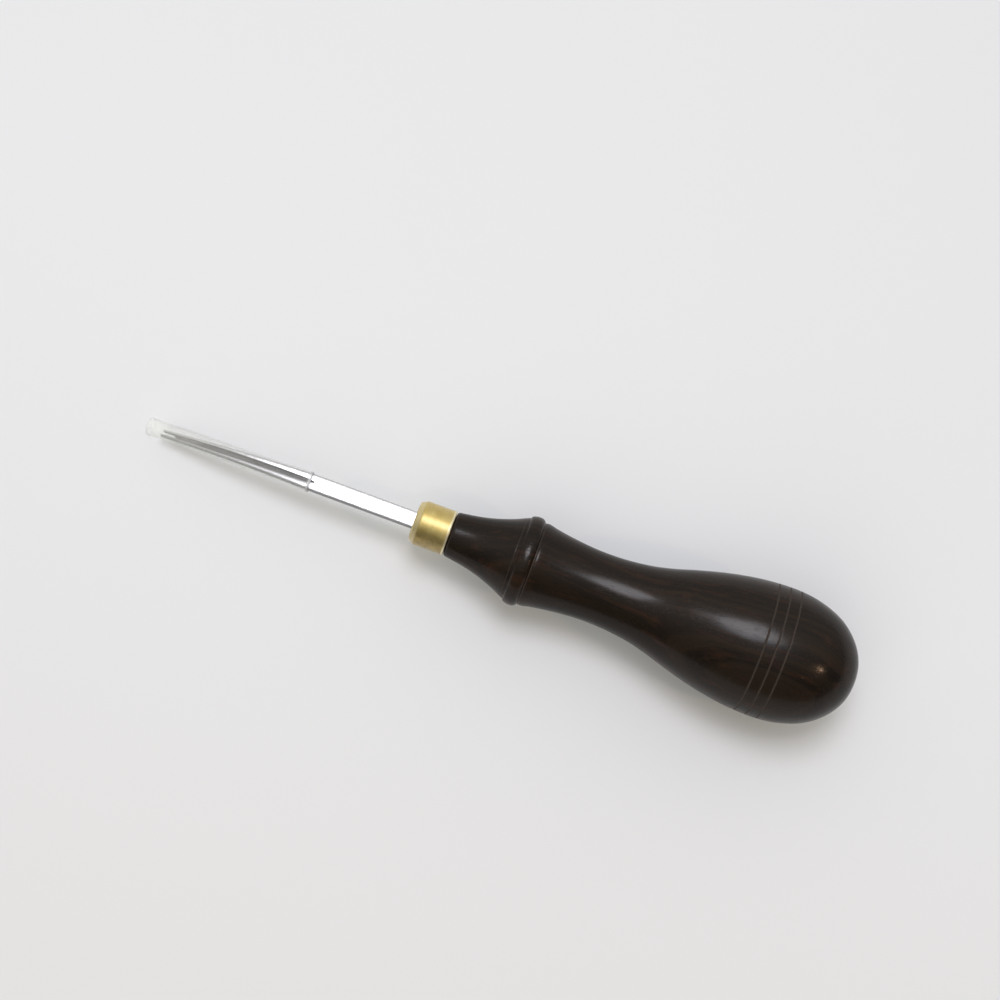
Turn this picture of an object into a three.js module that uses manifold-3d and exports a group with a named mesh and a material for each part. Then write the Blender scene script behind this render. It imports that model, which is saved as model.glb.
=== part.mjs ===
// Leather edge beveler: a turned blackwood handle, a brass cap ferrule, a flat
// steel blade that curves to a forked tip, the adhesive that beds its tang, and
// a clear guard tube on the blade.
//
// Millimetres, +Z up. The tool lies as it does on a bench with its working face
// up: the handle's bulb and the free end of the guard tube touch the surface.
// The tip points to -X and the butt to +X. The origin is the middle of the
// footprint's bounding box, on the surface.
//
// Every piece is first made on the handle's own axis: x = 0 is the shoulder
// where the wood meets the ferrule, x runs towards the butt, and +z is the
// blade's working face.

import * as THREE from 'three';
import { mergeVertices } from 'three/addons/utils/BufferGeometryUtils.js';
import Module from 'manifold-3d';

const wasm = await Module();
wasm.setup();

// ---------------------------------------------------------------- dimensions

const FACETS = 36;                 // sides of every turned piece, one of them flat down

// handle: [distance from the shoulder, radius]
const HANDLE_PROFILE = [
  [0.00, 5.10], [2.46, 5.46], [5.14, 5.91], [7.82, 6.54], [10.50, 7.39],
  [13.19, 8.42], [14.60, 9.14], [15.74, 9.56], [16.50, 10.13], [18.05, 10.37],
  [18.85, 10.07], [19.29, 9.43], [19.72, 9.66], [20.60, 9.59], [22.60, 9.15],
  [25.20, 8.74], [28.20, 8.38], [31.60, 8.10], [35.10, 8.01], [38.70, 8.14],
  [42.00, 8.46], [45.20, 8.93], [48.40, 9.64], [51.60, 10.55], [54.76, 11.53],
  [57.44, 12.28], [60.12, 12.98], [62.80, 13.60], [65.49, 14.10], [68.17, 14.54],
  [70.85, 14.85], [73.53, 15.04], [76.21, 15.10], [78.90, 14.98], [81.58, 14.63],
  [84.26, 13.98], [86.94, 13.02], [89.62, 11.53], [92.10, 9.43], [93.95, 7.12],
  [95.26, 4.35], [95.90, 0.00],
];
const TENON_RADIUS = 4.20;         // the wood's spigot inside the ferrule
const TENON_LENGTH = 6.60;
const BORE_RADIUS = 2.90;          // drilled for the tang
const BORE_DEPTH = 30.00;          // from the shoulder into the wood

// ferrule: a drawn cap with a closed, slotted front
const FERRULE_RADIUS = 5.14;
const FERRULE_WALL = 0.60;
const FERRULE_FRONT = -8.44;       // outside of the front wall
const FERRULE_BACK = -0.30;
const FERRULE_FACE = 1.20;         // thickness of the front wall
const FERRULE_EDGE = 1.40;         // radius of the front edge

// blade: distances d run from the ferrule's front face towards the tip
const SHANK_WIDTH = 3.70;
const SHANK_THICK = 2.00;
const SHANK_CHAMFER = 0.22;
const STRAIGHT_LENGTH = 21.00;     // then the blade follows one circular arc
const BEND_RADIUS = 150.00;        // curving away from the working face
const BLADE_LENGTH = 60.90;        // to the ends of the toes, along the curve
const TAPER_START = 24.00;
const TIP_WIDTH = 1.56;
const TIP_THICK = 1.50;
const TANG_WIDTH = 3.00;
const TANG_THICK = 1.60;
const TANG_END = 27.00;            // x of the tang's point, inside the handle

// channel in the working face, which becomes the fork between the two toes
const CHANNEL_START = 23.80;
const CHANNEL_WIDTH = 1.12;
const CHANNEL_DEPTH = 0.72;
const FORK_WIDTH = 0.66;
const FORK_START = 58.45;

// adhesive bed round the tang
const EPOXY_RADIUS = 2.60;
const EPOXY_FRONT = -6.40;
const EPOXY_BACK = 26.40;
const FIT_GAP = 0.30;              // between one piece and the next

// guard tube
const GUARD_START = 24.75;
const GUARD_END = 64.40;
const GUARD_WALL = 0.20;
const GUARD_HALF_WIDTH = 2.13;     // outside, at the end that grips the blade
const GUARD_HALF_WIDTH_TIP = 1.98;
const GUARD_HALF_HEIGHT = 2.35;    // outside
const GUARD_POWER = 4;             // how square its section is

// ------------------------------------------------------------------- helpers

// One closed mesh: shared vertices merged, slivers at the poles dropped, faces out.
function closed(geometry) {
  const bare = geometry.clone();
  bare.deleteAttribute('normal');
  bare.deleteAttribute('uv');
  const merged = mergeVertices(bare, 1e-4);
  const from = merged.index.array;
  const p = merged.attributes.position;
  const keep = [];
  let volume = 0;
  const a = new THREE.Vector3(), b = new THREE.Vector3(), c = new THREE.Vector3();
  for (let i = 0; i < from.length; i += 3) {
    const [u, v, w] = [from[i], from[i + 1], from[i + 2]];
    if (u === v || v === w || w === u) continue;
    keep.push(u, v, w);
    a.fromBufferAttribute(p, u); b.fromBufferAttribute(p, v); c.fromBufferAttribute(p, w);
    volume += a.dot(b.cross(c));
  }
  if (volume < 0) for (let i = 0; i < keep.length; i += 3) [keep[i], keep[i + 1]] = [keep[i + 1], keep[i]];
  merged.setIndex(keep);
  return merged;
}

function solid(geometry) {
  const g = closed(geometry);
  return new wasm.Manifold(new wasm.Mesh({
    numProp: 3,
    vertProperties: new Float32Array(g.attributes.position.array),
    triVerts: new Uint32Array(g.index.array),
  }));
}

function geometryOf(manifold) {
  const mesh = manifold.getMesh();
  const g = new THREE.BufferGeometry();
  g.setAttribute('position', new THREE.BufferAttribute(new Float32Array(mesh.vertProperties), 3));
  g.setIndex(new THREE.BufferAttribute(new Uint32Array(mesh.triVerts), 1));
  return g;
}

// A turned piece on the x axis from a profile of [x, radius] points.
function turned(profile) {
  const points = profile.map(([x, r]) => new THREE.Vector2(r, x));
  const g = new THREE.LatheGeometry(points, FACETS, Math.PI / FACETS);
  g.rotateZ(-Math.PI / 2);
  return closed(g);
}

// A bar whose section changes along its length. `stations` are distances d,
// `place` puts one section point (side, height) at distance d in space.
function bar(section, stations, place) {
  const g = new THREE.ExtrudeGeometry(section, {
    depth: stations.length - 1, steps: stations.length - 1, bevelEnabled: false, curveSegments: 1,
  });
  const p = g.attributes.position;
  for (let i = 0; i < p.count; i++) {
    const q = place(p.getX(i), p.getY(i), stations[Math.round(p.getZ(i))]);
    p.setXYZ(i, q.x, q.y, q.z);
  }
  return closed(g);
}

// A point beside the blade's centre line: d along it from the ferrule's face,
// `side` across it, `height` above it on the working-face side.
function onBlade(d, side, height) {
  const bendStart = FERRULE_FRONT - STRAIGHT_LENGTH;
  if (d <= STRAIGHT_LENGTH) return new THREE.Vector3(FERRULE_FRONT - d, side, height);
  const angle = (d - STRAIGHT_LENGTH) / BEND_RADIUS;
  return new THREE.Vector3(
    bendStart - (BEND_RADIUS + height) * Math.sin(angle),
    side,
    -BEND_RADIUS + (BEND_RADIUS + height) * Math.cos(angle),
  );
}

function ramp(d, table) {
  if (d <= table[0][0]) return table[0][1];
  for (let i = 1; i < table.length; i++) {
    const [d0, v0] = table[i - 1], [d1, v1] = table[i];
    if (d <= d1) return v0 + (v1 - v0) * (d - d0) / (d1 - d0);
  }
  return table[table.length - 1][1];
}

function polygon(points) {
  return new THREE.Shape(points.map(([x, y]) => new THREE.Vector2(x, y)));
}

function named(name, geometry, colour, roughness, metalness, opacity = 1) {
  const g = geometry.clone();
  g.computeVertexNormals();
  const material = new THREE.MeshStandardMaterial({ color: colour, roughness, metalness });
  if (opacity < 1) { material.transparent = true; material.opacity = opacity; }
  const mesh = new THREE.Mesh(g, material);
  mesh.name = name;
  return mesh;
}

// -------------------------------------------------------------------- handle

const handle = turned([
  [BORE_DEPTH, 0], [BORE_DEPTH, BORE_RADIUS],
  [-TENON_LENGTH, BORE_RADIUS], [-TENON_LENGTH, TENON_RADIUS],
  [0, TENON_RADIUS],
  ...HANDLE_PROFILE,
]);

// ------------------------------------------------------------------- ferrule

const ferruleInside = FERRULE_RADIUS - FERRULE_WALL;
const edge = [];
for (let i = 0; i <= 4; i++) {
  const a = (Math.PI / 2) * (i / 4);
  edge.push([
    FERRULE_FRONT + FERRULE_EDGE * (1 - Math.sin(a)),
    FERRULE_RADIUS - FERRULE_EDGE * (1 - Math.cos(a)),
  ]);
}
const cap = turned([
  [FERRULE_FRONT + FERRULE_FACE, 0],
  [FERRULE_FRONT + FERRULE_FACE, ferruleInside],
  [FERRULE_BACK, ferruleInside],
  [FERRULE_BACK, FERRULE_RADIUS - 0.12],
  [FERRULE_BACK - 0.12, FERRULE_RADIUS],
  ...edge,
  [FERRULE_FRONT, 0],
]);
const slot = new THREE.BoxGeometry(6, SHANK_WIDTH + 2 * FIT_GAP, SHANK_THICK + 2 * FIT_GAP);
slot.translate(FERRULE_FRONT, 0, 0);
const ferrule = geometryOf(solid(cap).subtract(solid(slot)));

// --------------------------------------------------------------------- blade

const halfWidth = (d) => ramp(d, [
  [FERRULE_FRONT - TANG_END, 0.45], [FERRULE_FRONT - TANG_END + 4, TANG_WIDTH / 2],
  [-1.60, TANG_WIDTH / 2], [-1.50, SHANK_WIDTH / 2],
  [TAPER_START, SHANK_WIDTH / 2], [BLADE_LENGTH - 0.5, TIP_WIDTH / 2], [BLADE_LENGTH, TIP_WIDTH / 2 - 0.12],
]);
const halfThick = (d) => ramp(d, [
  [FERRULE_FRONT - TANG_END, 0.40], [FERRULE_FRONT - TANG_END + 4, TANG_THICK / 2],
  [-1.60, TANG_THICK / 2], [-1.50, SHANK_THICK / 2],
  [STRAIGHT_LENGTH, SHANK_THICK / 2], [BLADE_LENGTH - 4, TIP_THICK / 2], [BLADE_LENGTH, TIP_THICK / 2 - 0.25],
]);
const corner = SHANK_CHAMFER / (SHANK_WIDTH / 2);
const cornerUp = SHANK_CHAMFER / (SHANK_THICK / 2);
const barSection = polygon([
  [-1, -1 + cornerUp], [-1 + corner, -1], [1 - corner, -1], [1, -1 + cornerUp],
  [1, 1 - cornerUp], [1 - corner, 1], [-1 + corner, 1], [-1, 1 - cornerUp],
]);
const bladeStations = [
  FERRULE_FRONT - TANG_END, FERRULE_FRONT - TANG_END + 4, -1.60, -1.50,
  0.50, 21, 24, 27, 30, 33.5, 37, 40.5, 44, 47.5, 51, 54, 57, 58.8, 60.0, BLADE_LENGTH - 0.5, BLADE_LENGTH,
];
const blank = bar(barSection, bladeStations, (side, up, d) =>
  onBlade(d, -side * halfWidth(d), up * halfThick(d)));

const channelHalf = (d) => ramp(d, [
  [CHANNEL_START, 0.06], [CHANNEL_START + 4.5, CHANNEL_WIDTH / 2],
  [46, CHANNEL_WIDTH / 2], [BLADE_LENGTH, FORK_WIDTH / 2],
]);
const channelFloor = (d) => halfThick(d) - ramp(d, [
  [CHANNEL_START, 0.02], [CHANNEL_START + 4.5, 0.55], [36, CHANNEL_DEPTH],
  [56.0, CHANNEL_DEPTH], [FORK_START, 2.0], [BLADE_LENGTH + 1, 2.6],
]);
const channelStations = [
  CHANNEL_START, 26, 28.5, 31, 34, 37, 40, 43, 46, 49, 52, 54, 56, FORK_START - 1.2, FORK_START, 60, BLADE_LENGTH + 1,
];
const channelSection = polygon([[-1, 0.35], [-0.55, 0], [0.55, 0], [1, 0.35], [1, 2], [-1, 2]]);
const channel = bar(channelSection, channelStations, (side, up, d) => {
  const floor = channelFloor(d), top = halfThick(d) + 0.8;
  const height = up <= 1 ? floor + up * (halfThick(d) - floor) : top;
  return onBlade(d, -side * channelHalf(d), height);
});
const blade = geometryOf(solid(blank).subtract(solid(channel)));

// ------------------------------------------------------------- adhesive bed

const tangHole = new THREE.BoxGeometry(
  80, TANG_WIDTH + 2 * FIT_GAP, TANG_THICK + 2 * FIT_GAP);
tangHole.translate(10, 0, 0);
const plug = turned([
  [EPOXY_BACK, 0], [EPOXY_BACK, EPOXY_RADIUS], [EPOXY_FRONT, EPOXY_RADIUS], [EPOXY_FRONT, 0],
]);
const epoxy = geometryOf(solid(plug).subtract(solid(tangHole)));

// --------------------------------------------------------------- guard tube

function ring(points, a, b, power) {
  const out = [];
  for (let i = 0; i < points; i++) {
    const t = 2 * Math.PI * (i + 0.5) / points;
    const c = Math.cos(t), s = Math.sin(t);
    out.push(new THREE.Vector2(
      a * Math.sign(c) * Math.abs(c) ** (2 / power),
      b * Math.sign(s) * Math.abs(s) ** (2 / power),
    ));
  }
  return out;
}
const guardSection = new THREE.Shape(ring(16, 1, 1, GUARD_POWER));
guardSection.holes.push(new THREE.Path(
  ring(16, 1 - GUARD_WALL / GUARD_HALF_WIDTH, 1 - GUARD_WALL / GUARD_HALF_HEIGHT, GUARD_POWER).reverse()));
const GUARD_STEPS = 12;
const guardStations = [];
for (let i = 0; i <= GUARD_STEPS; i++) guardStations.push(GUARD_START + (GUARD_END - GUARD_START) * i / GUARD_STEPS);
const guard = bar(guardSection, guardStations, (side, up, d) => onBlade(
  d,
  -side * ramp(d, [[GUARD_START, GUARD_HALF_WIDTH], [GUARD_END, GUARD_HALF_WIDTH_TIP]]),
  up * GUARD_HALF_HEIGHT,
));

// ------------------------------------------------------------------ assembly

const tool = new THREE.Group();
tool.add(
  named('handle', handle, 0x261f1c, 0.42, 0.0),
  named('ferrule', ferrule, 0xbea55a, 0.32, 1.0),
  named('blade', blade, 0xc9c9cc, 0.25, 1.0),
  named('tang_epoxy', epoxy, 0xb8923f, 0.45, 0.0),
  named('tip_guard', guard, 0xe9eeea, 0.18, 0.0, 0.3),
);

// Lay it on the bench: turn it nose down until the bulb's flat and the guard's
// free end are level, then put the surface at z = 0.
const noseFoot = onBlade(GUARD_END, 0, -GUARD_HALF_HEIGHT);
const flat = Math.cos(Math.PI / FACETS);
const REST_PITCH = Math.atan(Math.max(...HANDLE_PROFILE.map(([x, r]) =>
  (r * flat + noseFoot.z) / (x - noseFoot.x))));
tool.rotation.y = -REST_PITCH;

const group = new THREE.Group();
group.name = 'edge_beveler';
group.add(tool);
group.updateMatrixWorld(true);
const box = new THREE.Box3().setFromObject(tool, true);
tool.position.set(-(box.min.x + box.max.x) / 2, 0, -box.min.z);
group.updateMatrixWorld(true);

export default group;
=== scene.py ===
import math

import bmesh
import bpy
import numpy as np
from mathutils import Matrix, Vector


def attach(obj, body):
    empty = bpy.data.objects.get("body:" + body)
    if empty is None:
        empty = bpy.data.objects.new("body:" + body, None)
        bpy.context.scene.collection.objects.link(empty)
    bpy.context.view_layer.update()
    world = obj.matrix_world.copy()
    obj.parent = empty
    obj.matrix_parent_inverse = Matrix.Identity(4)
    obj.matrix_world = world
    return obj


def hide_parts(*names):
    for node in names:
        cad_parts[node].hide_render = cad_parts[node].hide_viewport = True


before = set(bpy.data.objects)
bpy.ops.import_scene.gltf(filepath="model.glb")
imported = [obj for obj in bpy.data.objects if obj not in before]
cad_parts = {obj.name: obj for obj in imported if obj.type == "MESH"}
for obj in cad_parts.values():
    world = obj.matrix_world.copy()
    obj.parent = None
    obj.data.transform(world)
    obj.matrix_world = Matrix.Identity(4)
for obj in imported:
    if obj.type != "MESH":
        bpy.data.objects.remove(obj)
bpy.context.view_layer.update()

MM = 0.001

# --------------------------------------------------------------------------
# The tool's own frame, as in the CAD: x = 0 at the wood's shoulder, +x to the
# butt, +z the blade's working face. TOOL places it in the row frame.
# --------------------------------------------------------------------------
PITCH = math.radians(2.5632710768642326)
TOOL = Matrix((
    (math.cos(PITCH), 0, -math.sin(PITCH), -11.577527632136714 * MM),
    (0, 1, 0, 0),
    (math.sin(PITCH), 0, math.cos(PITCH), 11.679324375938394 * MM),
    (0, 0, 0, 1),
))

TENON_RADIUS, TENON_LENGTH = 4.20, 6.60
BORE_RADIUS, BORE_DEPTH = 2.90, 30.0
FERRULE_RADIUS, FERRULE_WALL = 5.14, 0.60
FERRULE_FRONT, FERRULE_BACK, FERRULE_FACE = -8.44, -0.14, 1.20
SHANK_WIDTH, SHANK_THICK = 3.70, 2.00
STRAIGHT, BEND = 21.0, 150.0
BLADE_LENGTH, TAPER_START = 60.90, 24.0
TIP_WIDTH, TIP_THICK = 1.56, 1.50
TANG_WIDTH, TANG_THICK, TANG_END = 3.0, 1.6, 27.0
CHANNEL_START = 23.8
GUARD_START, GUARD_END = 24.75, 64.4


# --------------------------------------------------------------------------
# small tools
# --------------------------------------------------------------------------
def spline(xs, ys, at, start=None, end=None):
    """Cubic spline through (xs, ys) at `at`; start and end are slopes, or None for a natural end."""
    xs, ys, at = np.array(xs, float), np.array(ys, float), np.array(at, float)
    n = len(xs)
    h = np.diff(xs)
    a = np.zeros((n, n))
    b = np.zeros(n)
    for i in range(1, n - 1):
        a[i, i - 1], a[i, i], a[i, i + 1] = h[i - 1], 2 * (h[i - 1] + h[i]), h[i]
        b[i] = 6 * ((ys[i + 1] - ys[i]) / h[i] - (ys[i] - ys[i - 1]) / h[i - 1])
    if start is None:
        a[0, 0] = 1
    else:
        a[0, 0], a[0, 1], b[0] = 2 * h[0], h[0], 6 * ((ys[1] - ys[0]) / h[0] - start)
    if end is None:
        a[-1, -1] = 1
    else:
        a[-1, -1], a[-1, -2], b[-1] = 2 * h[-1], h[-1], 6 * (end - (ys[-1] - ys[-2]) / h[-1])
    m = np.linalg.solve(a, b)
    i = np.clip(np.searchsorted(xs, at, side="right") - 1, 0, n - 2)
    t = at - xs[i]
    return (ys[i] + t * ((ys[i + 1] - ys[i]) / h[i] - h[i] * (2 * m[i] + m[i + 1]) / 6)
            + t ** 2 * m[i] / 2 + t ** 3 * (m[i + 1] - m[i]) / (6 * h[i]))


def ramp(d, table):
    xs, ys = zip(*table)
    return float(np.interp(d, xs, ys))


def ease(d, a, b):
    t = min(1.0, max(0.0, (d - a) / (b - a)))
    return t * t * (3 - 2 * t)


def on_blade(d, side, height):
    """A point beside the blade's centre line, in the tool's frame, in mm."""
    if d <= STRAIGHT:
        return (FERRULE_FRONT - d, side, height)
    a = (d - STRAIGHT) / BEND
    return (FERRULE_FRONT - STRAIGHT - (BEND + height) * math.sin(a), side,
            -BEND + (BEND + height) * math.cos(a))


def add_piece(name, verts, faces, sharp=40.0, attributes=None, merge=1e-7):
    """A closed mesh; verts are mm in the tool's frame, and the mesh holds them in the row frame."""
    mesh = bpy.data.meshes.new(name)
    mesh.from_pydata([TOOL @ Vector((x * MM, y * MM, z * MM)) for x, y, z in verts], [], faces)
    for key, values in (attributes or {}).items():
        layer = mesh.attributes.new(key, "FLOAT", "POINT")
        layer.data.foreach_set("value", np.array(values, np.float32))
    bm = bmesh.new()
    bm.from_mesh(mesh)
    bmesh.ops.remove_doubles(bm, verts=bm.verts, dist=merge)
    bmesh.ops.dissolve_degenerate(bm, edges=bm.edges, dist=merge)
    bmesh.ops.recalc_face_normals(bm, faces=bm.faces)
    bm.to_mesh(mesh)
    bm.free()
    mesh.shade_smooth()
    mesh.set_sharp_from_angle(angle=math.radians(sharp))
    piece = bpy.data.objects.new(name, mesh)
    bpy.context.scene.collection.objects.link(piece)
    return piece


def rings_to_faces(rings, loop=False):
    faces = []
    pairs = list(zip(rings, rings[1:])) + ([(rings[-1], rings[0])] if loop else [])
    for a, b in pairs:
        n = max(len(a), len(b))
        for k in range(n):
            j = (k + 1) % n
            if len(a) == 1:
                faces.append((a[0], b[k], b[j]))
            elif len(b) == 1:
                faces.append((a[k], a[j], b[0]))
            else:
                faces.append((a[k], a[j], b[j], b[k]))
    return faces


def lathe(profile, sides, loop=False, marks=None):
    """Turned piece about the x axis. profile: (x, r) points; marks: a value per point."""
    verts, rings, values = [], [], []
    for i, (x, r) in enumerate(profile):
        mark = marks[i] if marks is not None else 0.0
        if r < 1e-6:
            rings.append([len(verts)])
            verts.append((x, 0.0, 0.0))
            values.append(mark)
        else:
            rings.append(list(range(len(verts), len(verts) + sides)))
            for k in range(sides):
                a = 2 * math.pi * (k + 0.5) / sides
                verts.append((x, r * math.cos(a), r * math.sin(a)))
                values.append(mark)
    return verts, rings_to_faces(rings, loop), values


# --------------------------------------------------------------------------
# node-graph helper
# --------------------------------------------------------------------------
class Graph:
    def __init__(self, name):
        self.material = bpy.data.materials.new(name)
        self.material.use_nodes = True
        self.tree = self.material.node_tree
        self.tree.nodes.clear()
        self.out = self.tree.nodes.new("ShaderNodeOutputMaterial")
        # mm in the tool's own frame, so that grain and turning marks follow its axis
        place = self.vec("SUBTRACT", self.tree.nodes.new("ShaderNodeTexCoord").outputs["Object"],
                         tuple(TOOL.translation))
        axes = [tuple(1000.0 * v for v in TOOL.col[i][:3]) for i in range(3)]
        self.mm = self.join(*(self.vec("DOT_PRODUCT", place, a) for a in axes))

    def _set(self, socket, value):
        if isinstance(value, bpy.types.NodeSocket):
            self.tree.links.new(value, socket)
        elif value is not None:
            socket.default_value = value

    def math(self, op, a, b=None, c=None, clamp=False):
        n = self.tree.nodes.new("ShaderNodeMath")
        n.operation, n.use_clamp = op, clamp
        for s, v in zip(n.inputs, (a, b, c)):
            self._set(s, v)
        return n.outputs[0]

    def vec(self, op, a, b=None, scale=None):
        n = self.tree.nodes.new("ShaderNodeVectorMath")
        n.operation = op
        self._set(n.inputs[0], a)
        if b is not None:
            self._set(n.inputs[1], b)
        if scale is not None:
            self._set(n.inputs["Scale"], scale)
        return n.outputs["Value"] if op in ("LENGTH", "DOT_PRODUCT", "DISTANCE") else n.outputs[0]

    def split(self, v):
        n = self.tree.nodes.new("ShaderNodeSeparateXYZ")
        self._set(n.inputs[0], v)
        return n.outputs

    def join(self, x, y, z):
        n = self.tree.nodes.new("ShaderNodeCombineXYZ")
        for s, v in zip(n.inputs, (x, y, z)):
            self._set(s, v)
        return n.outputs[0]

    def noise(self, vector, scale=1.0, detail=2.0, rough=0.5, distortion=0.0, colour=False):
        n = self.tree.nodes.new("ShaderNodeTexNoise")
        self._set(n.inputs["Vector"], vector)
        self._set(n.inputs["Scale"], scale)
        self._set(n.inputs["Detail"], detail)
        self._set(n.inputs["Roughness"], rough)
        self._set(n.inputs["Distortion"], distortion)
        return n.outputs["Color"] if colour else n.outputs["Fac"]

    def range(self, v, a, b, c=0.0, d=1.0, smooth=False):
        n = self.tree.nodes.new("ShaderNodeMapRange")
        n.interpolation_type = "SMOOTHSTEP" if smooth else "LINEAR"
        for s, x in zip(n.inputs, (v, a, b, c, d)):
            self._set(s, x)
        return n.outputs[0]

    def mix(self, f, a, b, blend="MIX"):
        n = self.tree.nodes.new("ShaderNodeMix")
        n.data_type, n.blend_type = "RGBA", blend
        self._set(n.inputs[0], f)
        for s, v in zip((n.inputs[6], n.inputs[7]), (a, b)):
            self._set(s, (*v, 1.0) if isinstance(v, tuple) and len(v) == 3 else v)
        return n.outputs[2]

    def mark(self, name):
        n = self.tree.nodes.new("ShaderNodeAttribute")
        n.attribute_name = name
        return n.outputs["Fac"]

    def bump(self, height, strength, distance, normal=None):
        n = self.tree.nodes.new("ShaderNodeBump")
        self._set(n.inputs["Height"], height)
        self._set(n.inputs["Strength"], strength)
        self._set(n.inputs["Distance"], distance)
        if normal is not None:
            self._set(n.inputs["Normal"], normal)
        return n.outputs[0]

    def surface(self, **values):
        n = self.tree.nodes.new("ShaderNodeBsdfPrincipled")
        for k, v in values.items():
            key = k.replace("_", " ")
            self._set(n.inputs[key], (*v, 1.0) if isinstance(v, tuple) and len(v) == 3 else v)
        self.tree.links.new(n.outputs[0], self.out.inputs[0])
        return n


# --------------------------------------------------------------------------
# materials
# --------------------------------------------------------------------------
def wood_material():
    g = Graph("handle_wood")
    x, y, z = g.split(g.mm)[:3]
    # slow wander of the fibres, so that the figure is never quite straight
    wander = g.noise(g.join(g.math("MULTIPLY", x, 0.022), g.math("MULTIPLY", y, 0.06), g.math("MULTIPLY", z, 0.06)),
                     1.0, 2.0, 0.5, colour=True)
    wx, wy, wz = g.split(g.vec("SUBTRACT", wander, (0.5, 0.5, 0.5)))[:3]
    ya = g.math("MULTIPLY_ADD", wy, 6.5, y)
    za = g.math("MULTIPLY_ADD", wz, 6.5, z)
    # growth layers round a pith that lies outside the blank
    ring = g.vec("LENGTH", g.join(0.0, g.math("ADD", ya, 34.0), g.math("SUBTRACT", za, 27.0)))
    layers = g.noise(g.join(g.math("MULTIPLY", ring, 0.62), g.math("MULTIPLY", x, 0.010), 3.7), 1.0, 4.0, 0.62)
    bands = g.noise(g.join(g.math("MULTIPLY", ring, 0.17), g.math("MULTIPLY", x, 0.006), 9.1), 1.0, 2.0, 0.5)
    streak = g.noise(g.join(g.math("MULTIPLY", x, 0.045), g.math("MULTIPLY", ya, 0.55), g.math("MULTIPLY", za, 0.55)),
                     1.0, 4.0, 0.6)
    fibre = g.noise(g.join(g.math("MULTIPLY", x, 0.30), g.math("MULTIPLY", y, 5.2), g.math("MULTIPLY", z, 5.2)),
                    1.0, 3.0, 0.6)
    pores = g.noise(g.join(g.math("MULTIPLY", x, 0.55), g.math("MULTIPLY", y, 8.5), g.math("MULTIPLY", z, 8.5)),
                    1.0, 1.0, 0.5)
    pore = g.range(pores, 0.34, 0.27, 0.0, 1.0)

    red = g.range(streak, 0.50, 0.72, 0.0, 1.0, True)
    dark = g.range(layers, 0.40, 0.62, 0.0, 1.0, True)
    broad = g.range(bands, 0.38, 0.66, 0.0, 1.0, True)
    c = g.mix(dark, (0.0052, 0.0035, 0.0022), (0.0145, 0.0090, 0.0052))
    c = g.mix(g.math("MULTIPLY", broad, 0.60), c, (0.0215, 0.0120, 0.0064))
    c = g.mix(g.math("MULTIPLY", red, 0.46), c, (0.0440, 0.0175, 0.0085))
    c = g.mix(g.range(fibre, 0.3, 0.7, 0.0, 0.22), c, (0.0250, 0.0155, 0.0095))
    c = g.mix(g.math("MULTIPLY", pore, 0.55), c, (0.0030, 0.0021, 0.0016))
    cut = g.mark("cut")
    cut_noise = g.noise(g.mm, 2.6, 3.0, 0.6)
    cut_amount = g.math("MULTIPLY", cut, g.range(cut_noise, 0.30, 0.70, 0.55, 1.0), clamp=True)
    c = g.mix(cut_amount, c, (0.0520, 0.0385, 0.0310))

    smudge = g.noise(g.mm, 0.11, 4.0, 0.6)
    rough = g.math("ADD", g.range(smudge, 0.30, 0.72, 0.165, 0.235), g.math("MULTIPLY", pore, 0.12))
    rough = g.math("ADD", rough, g.range(fibre, 0.3, 0.7, -0.02, 0.03))
    rough = g.math("ADD", rough, g.range(streak, 0.35, 0.65, 0.03, -0.03))
    rough = g.math("MULTIPLY_ADD", cut, 0.30, rough)
    grain = g.math("SUBTRACT", g.math("MULTIPLY", fibre, 0.5), g.math("MULTIPLY", pore, 0.55))
    turning = g.noise(g.join(g.math("MULTIPLY", x, 2.6), g.math("MULTIPLY", y, 0.05), g.math("MULTIPLY", z, 0.05)),
                      1.0, 2.0, 0.6)
    # the finish is thin and worn, so its sheen stays low towards the outline
    facing = g.tree.nodes.new("ShaderNodeLayerWeight")
    facing.inputs["Blend"].default_value = 0.5
    ior = g.math("MULTIPLY_ADD", g.math("POWER", facing.outputs["Facing"], 0.9), -0.26, 1.365)
    normal = g.bump(grain, 0.34, 0.00004)
    normal = g.bump(turning, 0.16, 0.00004, normal)
    g.surface(Base_Color=c, Roughness=rough, IOR=ior, Normal=normal)
    return g.material


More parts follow.
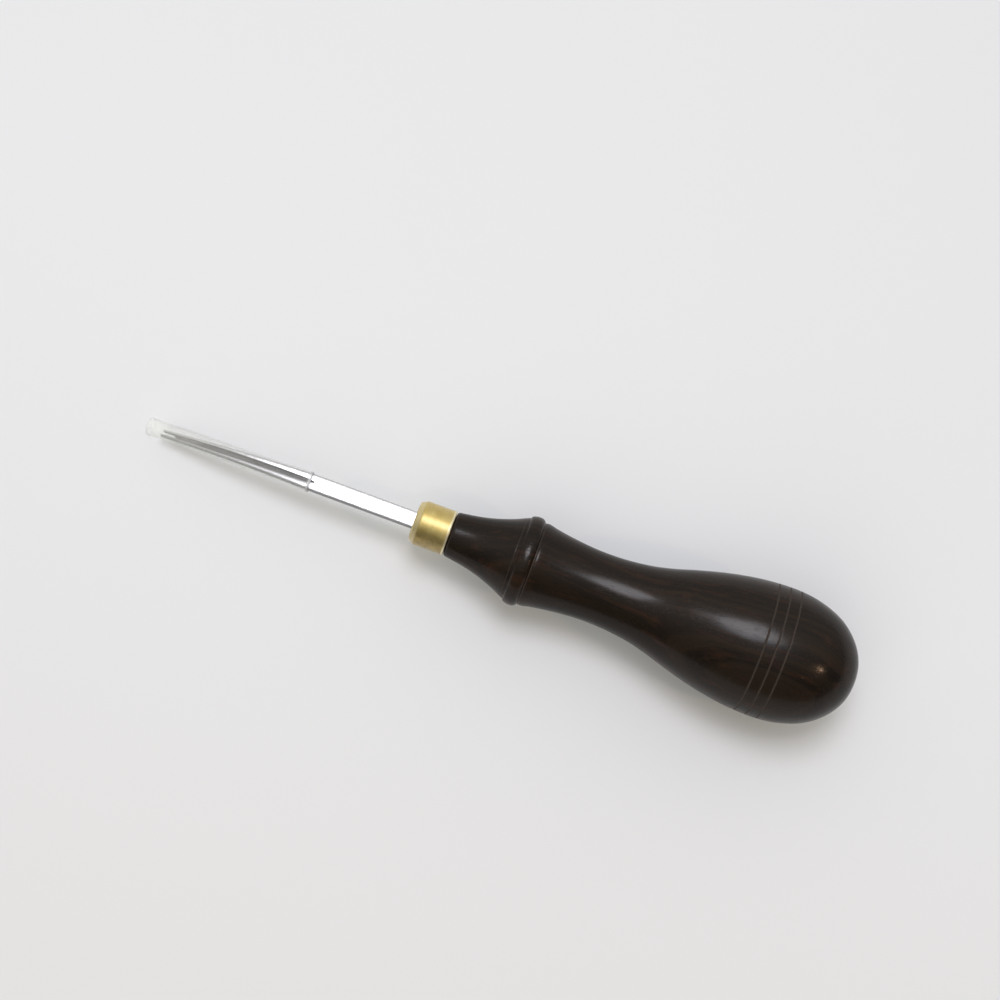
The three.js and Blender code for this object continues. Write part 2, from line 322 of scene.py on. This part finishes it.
def brass_material():
    g = Graph("ferrule_brass")
    x, y, z = g.split(g.mm)[:3]
    lines = g.noise(g.join(g.math("MULTIPLY", x, 9.0), g.math("MULTIPLY", y, 0.14), g.math("MULTIPLY", z, 0.14)),
                    1.0, 4.0, 0.65)
    scratches = g.noise(g.join(g.math("MULTIPLY", x, 1.2), g.math("MULTIPLY", y, 3.2), g.math("MULTIPLY", z, 3.2)),
                        1.0, 3.0, 0.6, 0.6)
    cloud = g.noise(g.mm, 0.42, 4.0, 0.6)
    c = g.mix(g.range(cloud, 0.34, 0.70), (0.63, 0.485, 0.155), (0.73, 0.60, 0.235))
    c = g.mix(g.range(lines, 0.35, 0.65, 0.0, 0.35), c, (0.52, 0.385, 0.135))
    # one side is darkened: partly tarnish, partly a painted dark reflection
    tarnish_and_painted_reflection = g.math("MULTIPLY", g.range(y, -2.3, -4.3, 0.0, 1.0, True),
                     g.range(g.noise(g.mm, 0.8, 4.0, 0.65), 0.30, 0.62, 0.45, 1.0))
    c = g.mix(g.math("MULTIPLY", tarnish_and_painted_reflection, 0.78), c, (0.26, 0.18, 0.065))
    mark = g.mark("grime_and_painted_highlight")  # above 0 grime in the slot, below 0 a painted highlight along the back edge and the front chamfer
    grime_and_painted_highlight = g.math("MAXIMUM", mark, 0.0)
    c = g.mix(g.math("MULTIPLY", grime_and_painted_highlight, 0.65), c, (0.16, 0.11, 0.045))
    # painted highlight: marks below 0 turn the brass pale and bright
    c = g.mix(g.math("MULTIPLY", mark, -0.8, clamp=True), c, (0.98, 0.90, 0.62))
    rough = g.math("ADD", g.range(lines, 0.3, 0.7, 0.42, 0.54), g.range(cloud, 0.3, 0.7, -0.03, 0.05))
    rough = g.math("MULTIPLY_ADD", grime_and_painted_highlight, 0.18, rough)
    normal = g.bump(lines, 0.38, 0.00003)
    normal = g.bump(scratches, 0.10, 0.00003, normal)
    g.surface(Base_Color=c, Metallic=1.0, Roughness=rough, Coat_Weight=0.70, Coat_Roughness=0.24, Normal=normal)
    return g.material


def steel_material():
    g = Graph("blade_steel")
    x, y, z = g.split(g.mm)[:3]
    grind = g.noise(g.join(g.math("MULTIPLY", x, 0.22), g.math("MULTIPLY", y, 11.0), g.math("MULTIPLY", z, 7.0)),
                    1.0, 4.0, 0.65)
    cross = g.noise(g.join(g.math("MULTIPLY", x, 6.0), g.math("MULTIPLY", y, 0.5), g.math("MULTIPLY", z, 0.5)),
                    1.0, 2.0, 0.6)
    cloud = g.noise(g.mm, 0.35, 4.0, 0.6)
    c = g.mix(g.range(cloud, 0.32, 0.70), (0.60, 0.60, 0.61), (0.74, 0.74, 0.75))
    c = g.mix(g.range(grind, 0.36, 0.66, 0.0, 0.30), c, (0.46, 0.46, 0.47))
    channel, side = g.mark("channel"), g.mark("side")
    # the channel mark also covers a strip of land along one lip, where its dark colour is painted shade
    c = g.mix(g.math("MULTIPLY", channel, g.range(cloud, 0.25, 0.75, 0.88, 1.0), clamp=True), c, (0.125, 0.123, 0.122))
    # painted dark reflection: the edge faces and underside are painted near-black steel; they are also ground rougher
    c = g.mix(g.math("MULTIPLY", side, 0.80), c, (0.13, 0.13, 0.132))
    rough = g.math("ADD", g.range(grind, 0.3, 0.7, 0.15, 0.25), g.range(cross, 0.3, 0.7, -0.02, 0.03))
    rough = g.math("MULTIPLY_ADD", channel, 0.34, rough)
    rough = g.math("MULTIPLY_ADD", side, 0.16, rough)
    normal = g.bump(grind, 0.22, 0.00002)
    normal = g.bump(cross, 0.06, 0.00002, normal)
    g.surface(Base_Color=c, Metallic=1.0, Roughness=rough, Normal=normal)
    return g.material


def epoxy_material():
    g = Graph("tang_epoxy")
    cloud = g.noise(g.mm, 0.5, 4.0, 0.6)
    bubbles = g.noise(g.mm, 3.4, 1.0, 0.5)
    bubble = g.range(bubbles, 0.66, 0.72)
    c = g.mix(cloud, (0.42, 0.24, 0.055), (0.62, 0.40, 0.12))
    c = g.mix(g.math("MULTIPLY", bubble, 0.6), c, (0.78, 0.62, 0.36))
    normal = g.bump(bubble, 0.3, 0.0001)
    g.surface(Base_Color=c, Roughness=g.range(cloud, 0.3, 0.7, 0.22, 0.42), IOR=1.55, Normal=normal)
    return g.material


def tube_material():
    """Clear soft vinyl as a thin wall: what is behind it shows, edge-on it turns more opaque with a painted grey
    outline standing in for reflection, and it glints.
    """
    g = Graph("guard_clear")
    x, y, z = g.split(g.mm)[:3]
    haze = g.noise(g.join(g.math("MULTIPLY", x, 0.12), g.math("MULTIPLY", y, 0.5), g.math("MULTIPLY", z, 0.5)),
                   1.0, 4.0, 0.6)
    draw = g.noise(g.join(g.math("MULTIPLY", x, 0.08), g.math("MULTIPLY", y, 2.4), g.math("MULTIPLY", z, 2.4)),
                   1.0, 3.0, 0.6)
    facing = g.tree.nodes.new("ShaderNodeLayerWeight")
    facing.inputs["Blend"].default_value = 0.5
    edge = g.math("POWER", facing.outputs["Facing"], 2.6)
    lip = g.mark("lip")
    milky = g.range(x, -34.0, -68.0, 0.060, 0.20, True)  # the free end has clouded
    alpha = g.math("ADD", g.math("MULTIPLY_ADD", edge, 0.13, g.math("MULTIPLY", g.range(haze, 0.3, 0.7, 0.75, 1.25), milky)),
                   g.math("MULTIPLY", lip, 0.62), clamp=True)
    c = g.mix(g.range(haze, 0.3, 0.7), (0.79, 0.81, 0.77), (0.87, 0.89, 0.86))
    # painted reflection: towards the outline the colour is painted a darker grey
    c = g.mix(edge, c, (0.55, 0.58, 0.55))
    c = g.mix(lip, c, (0.34, 0.35, 0.35))
    normal = g.bump(draw, 0.25, 0.00008)
    g.surface(Base_Color=c, Roughness=g.range(draw, 0.3, 0.7, 0.10, 0.17), IOR=1.53, Alpha=alpha, Normal=normal)
    return g.material


def floor_material():
    g = Graph("studio_floor")
    fine = g.noise(g.mm, 0.9, 3.0, 0.6)
    broad = g.noise(g.mm, 0.006, 2.0, 0.5)
    c = g.mix(broad, (0.793, 0.820, 0.842), (0.805, 0.832, 0.854))
    # painted shade: the paper is made a shade greyer and warmer towards the near side
    near = g.range(g.split(g.mm)[1], 60.0, -130.0, 0.0, 1.0, True)
    c = g.mix(near, c, (0.756, 0.772, 0.782))
    c = g.mix(g.range(fine, 0.3, 0.7, 0.0, 0.05), c, (0.76, 0.77, 0.79))
    normal = g.bump(fine, 0.05, 0.0002)
    g.surface(Base_Color=c, Roughness=0.62, IOR=1.35, Normal=normal)
    return g.material


WOOD, BRASS, STEEL, TUBE = wood_material(), brass_material(), steel_material(), tube_material()


# --------------------------------------------------------------------------
# handle: turned wood with a cove, a bead, a V-cut and three scribed rings
# --------------------------------------------------------------------------
NECK = [(0.0, 5.10), (2.46, 5.46), (5.14, 5.91), (7.82, 6.545), (10.5, 7.39), (13.19, 8.42), (14.1, 8.84),
        (15.0, 9.27), (15.74, 9.55)]
BEAD = [(15.74, 9.56), (15.83, 9.73), (15.98, 9.94), (16.18, 10.08), (16.5, 10.20), (16.92, 10.31), (17.35, 10.375),
        (17.75, 10.39), (18.12, 10.355), (18.44, 10.265), (18.70, 10.12), (18.91, 9.93), (19.06, 9.74), (19.16, 9.61),
        (19.25, 9.545), (19.34, 9.535), (19.45, 9.57), (19.6, 9.62), (19.8, 9.66), (20.1, 9.66)]
BODY = [(20.1, 9.66), (20.6, 9.59), (21.5, 9.37), (22.6, 9.15), (25.2, 8.74), (28.2, 8.384), (31.6, 8.104),
        (35.1, 8.013), (38.7, 8.138), (42.0, 8.458), (45.2, 8.928), (48.4, 9.642), (51.6, 10.55), (54.76, 11.53),
        (57.44, 12.28), (60.12, 12.98), (62.8, 13.60), (65.49, 14.10), (68.17, 14.54), (70.85, 14.85),
        (73.53, 15.035), (76.21, 15.10), (78.9, 14.98), (81.58, 14.63), (84.26, 13.975), (86.94, 13.02),
        (89.62, 11.53), (92.1, 9.43), (93.95, 7.12), (95.26, 4.35), (95.9, 0.0)]
# scribed rings: place, half width, depth
RINGS = [(14.90, 0.13, 0.07), (72.56, 0.21, 0.13), (75.19, 0.21, 0.13), (77.78, 0.21, 0.13)]


def arc_spline(points, count, end_flat=False):
    """Points along a smooth curve through `points`, evenly spaced; end_flat closes it square to the axis."""
    p = np.array(points, float)
    s = np.concatenate([[0], np.cumsum(np.hypot(*np.diff(p, axis=0).T))])
    at = np.linspace(0, s[-1], count)
    x = spline(s, p[:, 0], at, end=0.0 if end_flat else None)
    r = spline(s, p[:, 1], at, end=-1.0 if end_flat else None)
    return np.stack([x, r], 1)


def handle_piece():
    neck = arc_spline(NECK, 150)
    bead = arc_spline(BEAD, 64)
    body = arc_spline(BODY, 900, end_flat=True)
    body[-1, 1] = 0.0
    outer = np.concatenate([neck, bead, body[1:]])
    # thin out plain stretches and keep every point near a scribed ring
    near = np.min([np.abs(outer[:, 0] - c) / (3 * h) for c, h, _ in RINGS], 0) < 1
    index = np.arange(len(outer))
    keep = near | (index % 3 == 0) | (index < 2) | (index >= len(outer) - 12) | \
        ((outer[:, 0] > 15.6) & (outer[:, 0] < 20.2))
    coarse = outer[keep]
    # extra points across each ring, cut as a rounded V with a softened lip
    xs = [coarse[:, 0]]
    for c, h, _ in RINGS:
        xs.append(np.linspace(c - 1.9 * h, c + 1.9 * h, 23))
    cap = coarse[:, 0] > 90.0
    grid = np.unique(np.round(np.concatenate([coarse[~cap, 0]] + xs[1:]), 5))
    order = np.argsort(outer[:, 0], kind="stable")
    radius = np.interp(grid, outer[order, 0], outer[order, 1])
    profile = [(float(a), float(b)) for a, b in zip(grid, radius) if a > 0.5]
    profile += [(float(a), float(b)) for a, b in coarse[cap]]
    cuts = []
    shaped = []
    for x, r in profile:
        drop, mark = 0.0, 0.0
        for c, h, depth in RINGS:
            u = abs(x - c) / h
            if u < 1.6:
                drop += depth * (1 - ease(u, 0.0, 1.25))
                mark = max(mark, (0.30 if c < 20 else 1.0) * (1 - ease(u, 0.55, 1.35)))
        if 19.1 < x < 19.7:
            mark = max(mark, 0.62 * (1 - ease(abs(x - 19.38), 0.05, 0.19)))
        shaped.append((x, r - drop))
        cuts.append(mark)
    inner = [(BORE_DEPTH, 0.0), (BORE_DEPTH, 1.5), (BORE_DEPTH, BORE_RADIUS - 0.1), (BORE_DEPTH - 0.1, BORE_RADIUS),
             (12.0, BORE_RADIUS), (-TENON_LENGTH + 0.15, BORE_RADIUS), (-TENON_LENGTH, BORE_RADIUS + 0.12),
             (-TENON_LENGTH, TENON_RADIUS - 0.2), (-TENON_LENGTH + 0.2, TENON_RADIUS), (-0.2, TENON_RADIUS),
             (0.0, TENON_RADIUS + 0.02), (0.0, 4.60), (0.03, 4.76), (0.14, 4.90), (0.26, 5.03), (0.38, 5.12)]
    verts, faces, marks = lathe(inner + shaped, 208, marks=[0.35] * len(inner) + cuts)
    piece = add_piece("handle_turned", verts, faces, sharp=52, attributes={"cut": marks})
    piece.data.materials.append(WOOD)
    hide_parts("handle")
    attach(piece, "beveler")
    return piece


# --------------------------------------------------------------------------
# ferrule: turned brass cap, chamfered front, slotted for the shank
# --------------------------------------------------------------------------
def slot_ring(x, half_w, half_h, corner, sides):
    """A rounded-rectangle ring of points at x, one per direction."""
    out = []
    for k in range(sides):
        a = 2 * math.pi * (k + 0.5) / sides
        c, s = math.cos(a), math.sin(a)
        t = min(half_w / abs(c) if abs(c) > 1e-9 else 1e9, half_h / abs(s) if abs(s) > 1e-9 else 1e9)
        y, z = c * t, s * t
        # round the corner
        cy, cz = half_w - corner, half_h - corner
        if abs(y) > cy and abs(z) > cz:
            dy, dz = abs(y) - cy, abs(z) - cz
            m = math.hypot(dy, dz)
            if m > 1e-9:
                y, z = math.copysign(cy + dy * corner / m, y), math.copysign(cz + dz * corner / m, z)
        out.append((x, y, z))
    return out


def ferrule_piece():
    sides = 192
    inside = FERRULE_RADIUS - FERRULE_WALL
    front, back, r = FERRULE_FRONT - 0.08, FERRULE_BACK, FERRULE_RADIUS
    rings, grime_and_painted_highlight = [], []

    def circle(x, radius, mark=0.0):
        rings.append([(x, radius * math.cos(2 * math.pi * (k + 0.5) / sides),
                       radius * math.sin(2 * math.pi * (k + 0.5) / sides)) for k in range(sides)])
        grime_and_painted_highlight.append(mark)

    def slot(x, grow, mark):
        rings.append(slot_ring(x, SHANK_WIDTH / 2 + grow, SHANK_THICK / 2 + grow, 0.16, sides))
        grime_and_painted_highlight.append(mark)

    slot(front + 0.07, 0.07, 0.9)
    slot(front + 0.45, 0.07, 1.0)
    slot(front + FERRULE_FACE, 0.07, 1.0)
    circle(front + FERRULE_FACE, inside - 0.3, 0.6)
    circle(front + FERRULE_FACE + 0.08, inside - 0.08, 0.6)
    circle(front + FERRULE_FACE + 0.3, inside, 0.6)
    circle(-3.0, inside, 0.6)
    circle(back - 0.08, inside, 0.6)
    circle(back, inside + 0.06, 0.4)
    circle(back, r - 0.20, 0.2)
    # painted highlight: the rounding of the back edge is marked to be painted bright
    circle(back - 0.03, r - 0.09, -1.0)
    circle(back - 0.10, r - 0.025, -1.0)
    circle(back - 0.42, r, -1.0)
    circle(back - 0.54, r)
    for x in np.linspace(back - 0.9, front + 1.75, 22):
        circle(float(x), r + 0.006 * math.sin(x * 5.1))
    # front edge: a filed chamfer with softened shoulders, whose middle is marked for a painted highlight
    for dx, dr in ((1.56, 0.004), (1.38, 0.05), (1.16, 0.16), (0.84, 0.32), (0.52, 0.46), (0.30, 0.58), (0.16, 0.72),
                   (0.06, 0.92), (0.0, 1.20)):
        circle(front + dx, r - dr, -0.40 if 0.1 < dx < 1.3 else 0.0)
    circle(front - 0.0, r - 2.0, 0.05)
    rings.append([(front, *(0.5 * (np.array(a[1:]) + np.array(b[1:]))))
                  for a, b in zip(rings[-1], slot_ring(front, 2.0, 1.15, 0.16, sides))])
    grime_and_painted_highlight.append(0.12)
    slot(front, 0.26, 0.35)
    slot(front + 0.015, 0.15, 0.75)
    verts, idx, marks = [], [], []
    for ring, mark in zip(rings, grime_and_painted_highlight):
        idx.append(list(range(len(verts), len(verts) + sides)))
        verts += [(float(a), float(b), float(c)) for a, b, c in ring]
        marks += [mark] * sides
    piece = add_piece("ferrule_cap", verts, rings_to_faces(idx, loop=True), sharp=50, attributes={"grime_and_painted_highlight": marks})
    piece.data.materials.append(BRASS)
    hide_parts("ferrule")
    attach(piece, "beveler")
    return piece


# --------------------------------------------------------------------------
# blade: shank, ground curve, gouged channel and forked tip, with its tang
# --------------------------------------------------------------------------
def half_width(d):
    return ramp(d, [(FERRULE_FRONT - TANG_END, 0.45), (FERRULE_FRONT - TANG_END + 4, TANG_WIDTH / 2),
                    (-1.60, TANG_WIDTH / 2), (-1.50, SHANK_WIDTH / 2), (TAPER_START, SHANK_WIDTH / 2),
                    (BLADE_LENGTH - 0.5, TIP_WIDTH / 2), (BLADE_LENGTH, TIP_WIDTH / 2)])


def half_thick(d):
    return ramp(d, [(FERRULE_FRONT - TANG_END, 0.40), (FERRULE_FRONT - TANG_END + 4, TANG_THICK / 2),
                    (-1.60, TANG_THICK / 2), (-1.50, SHANK_THICK / 2), (STRAIGHT, SHANK_THICK / 2),
                    (BLADE_LENGTH - 4, TIP_THICK / 2), (BLADE_LENGTH, TIP_THICK / 2)])


def channel_half(d):
    return ramp(d, [(CHANNEL_START, 0.05), (CHANNEL_START + 0.15, 0.17), (CHANNEL_START + 0.45, 0.28),
                    (CHANNEL_START + 1.2, 0.36), (CHANNEL_START + 3.0, 0.46), (32, 0.54), (46, 0.56),
                    (BLADE_LENGTH, 0.40)])


def channel_depth(d):
    return ramp(d, [(CHANNEL_START, 0.0), (CHANNEL_START + 0.4, 0.16), (CHANNEL_START + 4.5, 0.52), (36, 0.72),
                    (56.0, 0.74), (57.0, 1.05), (BREAK, 2 * half_thick(BREAK)), (BREAK + 0.5, 2.0),
                    (BREAK + 1.4, 3.0), (BLADE_LENGTH, 3.6)])


BREAK = 57.9


def blade_piece():
    stations = [FERRULE_FRONT - TANG_END, FERRULE_FRONT - TANG_END + 1.5, FERRULE_FRONT - TANG_END + 4, -20.0, -10.0,
                -1.60, -1.50, 0.0, 4.0, 8.0, 12.0, 16.0, 20.0, 21.0]
    stations += list(np.linspace(22.0, 23.5, 3)) + list(CHANNEL_START + np.array([0, 0.07, 0.15, 0.29, 0.45, 0.8, 1.2])) + \
        list(np.linspace(CHANNEL_START + 1.5, 30.0, 18))
    stations += list(np.linspace(30.7, 56.0, 60)) + list(np.linspace(56.2, BREAK, 10))
    stations += list(BREAK + np.array([0.03, 0.08, 0.16, 0.28, 0.45, 0.7, 1.0, 1.4, 1.8]))
    tip_round = 0.34
    stations += list(np.linspace(60.0, BLADE_LENGTH - tip_round, 4))
    stations += [BLADE_LENGTH - tip_round * (1 - math.sin(a)) for a in np.linspace(0.2, math.pi / 2 * 0.93, 6)]
    arc, chamfer = 9, 0.16

    def half_section(d, shrink):
        hw, ht = half_width(d), half_thick(d)
        ch = chamfer * min(1.0, hw / 0.8)
        hc, depth = channel_half(d), channel_depth(d)
        if d < CHANNEL_START:
            hc, depth = 0.05, 0.0
        through = depth >= 2 * ht - 1e-9
        u0 = math.acos(min(1.0, 2 * ht / depth)) if through else 0.0
        pts, marks = [], []
        for i in range(arc + 1):
            u = u0 + (math.pi / 2 - u0) * i / arc
            y = hc * math.sin(u) if (i or through) else 0.0
            pts.append((y, ht - depth * math.cos(u)))
            marks.append((1.0 if (depth > 0.01 and i < arc) else (0.35 if depth > 0.01 else 0.0), 0.0))
        land = hw - ch
        pts += [(hc + (land - hc) * 0.12, ht), (hc + (land - hc) * 0.5, ht), (land, ht)]
        marks += [(0.0, 0.0)] * 3
        # the second mark paints the edge faces and the underside dark: a painted dark reflection
        pts += [(hw - ch * 0.3, ht - ch * 0.3), (hw, ht - ch), (hw, 0.0), (hw, -ht + ch), (hw - ch * 0.3, -ht + ch * 0.3)]
        marks += [(0.0, 0.35), (0.0, 1.0), (0.0, 1.0), (0.0, 1.0), (0.0, 0.6)]
        inner = pts[0][0] if through else 0.0
        pts += [(land, -ht), (inner + (land - inner) * 0.5, -ht), (inner, -ht)]
        marks += [(0.0, 0.4)] * 3
        if shrink < 1.0:  # rounding of the toes' ends, towards the middle of each toe
            cy, cz = (inner + hw) / 2 if through else 0.0, -0.1
            pts = [(cy + (y - cy) * shrink, cz + (z - cz) * shrink) for y, z in pts]
        return pts, marks

    verts, faces, channel, side = [], [], [], []
    columns = []
    for d in stations:
        over = (d - (BLADE_LENGTH - tip_round)) / tip_round
        shrink = math.sqrt(max(0.0, 1 - over * over)) if over > 0 else 1.0
        shrink = 0.45 + 0.55 * shrink if over > 0 else 1.0
        pts, marks = half_section(d, shrink)
        row = []
        for sign in (1, -1):
            row.append(list(range(len(verts), len(verts) + len(pts))))
            # the toes are not quite equal: one is a touch longer
            reach = 0.16 * ease(d, BREAK + 0.4, BLADE_LENGTH) * (1 if sign < 0 else -0.4)
            # along one side of the channel, the land next to it takes the channel's dark colour and roughness: painted
            # shade along that lip
            painted_lip_shade = {arc: 0.9, arc + 1: 0.95, arc + 2: 0.45} if sign < 0 and d > CHANNEL_START + 1.0 else {}
            for k, ((y, z), (mc, ms)) in enumerate(zip(pts, marks)):
                verts.append(on_blade(d + reach, sign * y, z))
                channel.append(max(mc, painted_lip_shade.get(k, 0.0)))
                side.append(ms)
        columns.append(row)
    for a, b in zip(columns, columns[1:]):
        for h in (0, 1):
            for k in range(len(a[h]) - 1):
                faces.append((a[h][k], a[h][k + 1], b[h][k + 1], b[h][k]))
    first, last = columns[0], columns[-1]
    faces.append(tuple(first[0] + first[1][::-1]))
    for h in (0, 1):
        faces.append(tuple(last[h]))
    piece = add_piece("blade_ground", verts, faces, sharp=28, attributes={"channel": channel, "side": side}, merge=2e-7)
    piece.data.materials.append(STEEL)
    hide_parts("blade")
    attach(piece, "beveler")
    return piece


# --------------------------------------------------------------------------
# guard tube: soft clear tubing, stretched oval over the blade, round at its free end
# --------------------------------------------------------------------------
def guard_piece():
    sides, wall = 96, 0.24
    steps = np.concatenate([[0, 0.004], np.linspace(0.02, 0.98, 96), [0.996, 1.0]])

    def section(f, inset):
        d = GUARD_START + (GUARD_END - GUARD_START) * f
        a = ramp(f, [(0, 2.15), (0.12, 2.11), (0.5, 2.0), (0.85, 1.95), (0.94, 2.01), (1, 2.15)])
        b = ramp(f, [(0, 1.62), (0.12, 1.64), (0.5, 1.82), (0.9, 2.04), (1, 2.16)])
        power = ramp(f, [(0, 5.5), (0.1, 4.2), (0.25, 3.0), (0.5, 2.35), (0.8, 2.0), (1, 2.0)])
        sag = -0.16 * ease(f, 0.45, 1.0)
        lean = 0.72 * ease(f, 0.30, 1.0)
        # a soft tube is never quite true
        a += 0.012 * math.sin(f * 19.0) + 0.008 * math.sin(f * 47.0 + 1.0)
        b += 0.015 * math.sin(f * 15.0 + 2.0)
        out = []
        for k in range(sides):
            t = 2 * math.pi * (k + 0.5) / sides
            c, s = math.cos(t), math.sin(t)
            out.append(on_blade(d, lean + (a - inset) * math.copysign(abs(c) ** (2 / power), c),
                                sag + (b - inset) * math.copysign(abs(s) ** (2 / power), s)))
        return out

    verts, rings, lip = [], [], []

    def add(f, inset, mark):
        rings.append(list(range(len(verts), len(verts) + sides)))
        verts.extend(section(f, inset))
        lip.extend([mark] * sides)

    for f in steps:
        end = min(f, 1 - f) < 0.0045
        add(float(f), 0.03 if min(f, 1 - f) < 1e-9 else 0.0, (1.0 if f < 0.5 else 0.10) if end else 0.0)
    for f in steps[::-1]:
        end = min(f, 1 - f) < 0.0045
        add(float(f), wall - (0.03 if min(f, 1 - f) < 1e-9 else 0.0), (1.0 if f < 0.5 else 0.10) if end else 0.0)
    piece = add_piece("guard_tube", verts, rings_to_faces(rings, loop=True), sharp=60, attributes={"lip": lip})
    piece.data.materials.append(TUBE)
    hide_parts("tip_guard")
    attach(piece, "guard")
    piece.visible_shadow = False  # clear: light passes through it to the bench
    return piece


handle_piece()
ferrule_piece()
blade_piece()
guard_piece()

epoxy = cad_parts["tang_epoxy"]
epoxy.data.materials.clear()
epoxy.data.materials.append(epoxy_material())


# --------------------------------------------------------------------------
# floor, light and camera
# --------------------------------------------------------------------------
bpy.ops.mesh.primitive_plane_add(size=6.0, location=(0, 0, -0.00002))
floor = bpy.context.active_object
floor.name = "studio_floor"
floor.data.materials.append(floor_material())

CAMERA_AT = Vector((-24.8416, -116.9521, 520.5721)) * MM
RIGHT = Vector((0.93362167, 0.33628281, 0.12354941))
DOWN = Vector((0.35598561, -0.90958481, -0.21431222))


def area_light(name, direction, distance, size, radiance, colour=(1, 1, 1), target=(0, 0, 0.01)):
    """direction points from the tool to the light, in the row frame."""
    data = bpy.data.lights.new(name, "AREA")
    data.shape, data.size, data.size_y = "RECTANGLE", size[0], size[1]
    data.energy = radiance * math.pi * size[0] * size[1]
    data.color = colour
    light = bpy.data.objects.new(name, data)
    bpy.context.scene.collection.objects.link(light)
    direction = Vector(direction).normalized()
    light.location = Vector(target) + direction * distance
    light.rotation_mode = "QUATERNION"
    light.rotation_quaternion = direction.to_track_quat("Z", "Y")
    return light


def tool_dir(toward_tip_deg, toward_top_deg):
    """A direction given as angles from the working face's normal, turned into the row frame."""
    v = Vector((-math.tan(math.radians(toward_tip_deg)), math.tan(math.radians(toward_top_deg)), 1.0)).normalized()
    return (TOOL.to_3x3() @ v).normalized()


KEY = 6.6
area_light("softbox", tool_dir(4.3, 10.6), 1.10, (0.475, 0.47), KEY, (0.985, 0.970, 1.045))
# lifts the shadows only: kept out of reflections, which stay those of the softbox
fill = area_light("fill", (-0.15, -0.72, 0.68), 1.6, (1.7, 1.7), 0.92, (1.06, 1.0, 0.86))
fill.visible_glossy = False
area_light("lamp", (0.7276, -0.1362, 0.6723), 1.2, (0.04, 0.04), 190.0, (1.0, 0.64, 0.40), target=(0.0737, -0.0029, 0.0286))

world = bpy.data.worlds.new("studio")
bpy.context.scene.world = world
world.use_nodes = True
wt = world.node_tree
wt.nodes.clear()
w_out = wt.nodes.new("ShaderNodeOutputWorld")
w_bg = wt.nodes.new("ShaderNodeBackground")
w_co = wt.nodes.new("ShaderNodeTexCoord")
w_dot = wt.nodes.new("ShaderNodeVectorMath")
w_dot.operation = "DOT_PRODUCT"
w_dot.inputs[1].default_value = (-0.30, 0.80, 0.52)
w_map = wt.nodes.new("ShaderNodeMapRange")
w_map.interpolation_type = "SMOOTHSTEP"
w_map.inputs["From Min"].default_value = -0.5
w_map.inputs["From Max"].default_value = 0.9
w_map.inputs["To Min"].default_value = 0.125
w_map.inputs["To Max"].default_value = 0.66
wt.links.new(w_co.outputs["Generated"], w_dot.inputs[0])
wt.links.new(w_dot.outputs["Value"], w_map.inputs["Value"])
w_bg.inputs["Color"].default_value = (1.02, 1.0, 0.975, 1)
wt.links.new(w_map.outputs[0], w_bg.inputs["Strength"])
wt.links.new(w_bg.outputs[0], w_out.inputs[0])

cam_data = bpy.data.cameras.new("camera")
cam_data.sensor_width = 36.0
cam_data.lens = 84.2232
cam_data.shift_x, cam_data.shift_y = -0.0005, 0.0005
cam_data.clip_start, cam_data.clip_end = 0.01, 20.0
cam = bpy.data.objects.new("camera", cam_data)
bpy.context.scene.collection.objects.link(cam)
right = RIGHT.normalized()
down = (DOWN - right * DOWN.dot(right)).normalized()
back = right.cross(-down)
cam.matrix_world = Matrix((
    (right.x, -down.x, back.x, CAMERA_AT.x),
    (right.y, -down.y, back.y, CAMERA_AT.y),
    (right.z, -down.z, back.z, CAMERA_AT.z),
    (0, 0, 0, 1),
))
bpy.context.scene.camera = cam

bpy.context.scene.view_settings.view_transform = "Standard"
bpy.context.scene.view_settings.look = "None"
bpy.context.scene.view_settings.exposure = 0.0
bpy.context.scene.view_settings.gamma = 1.0
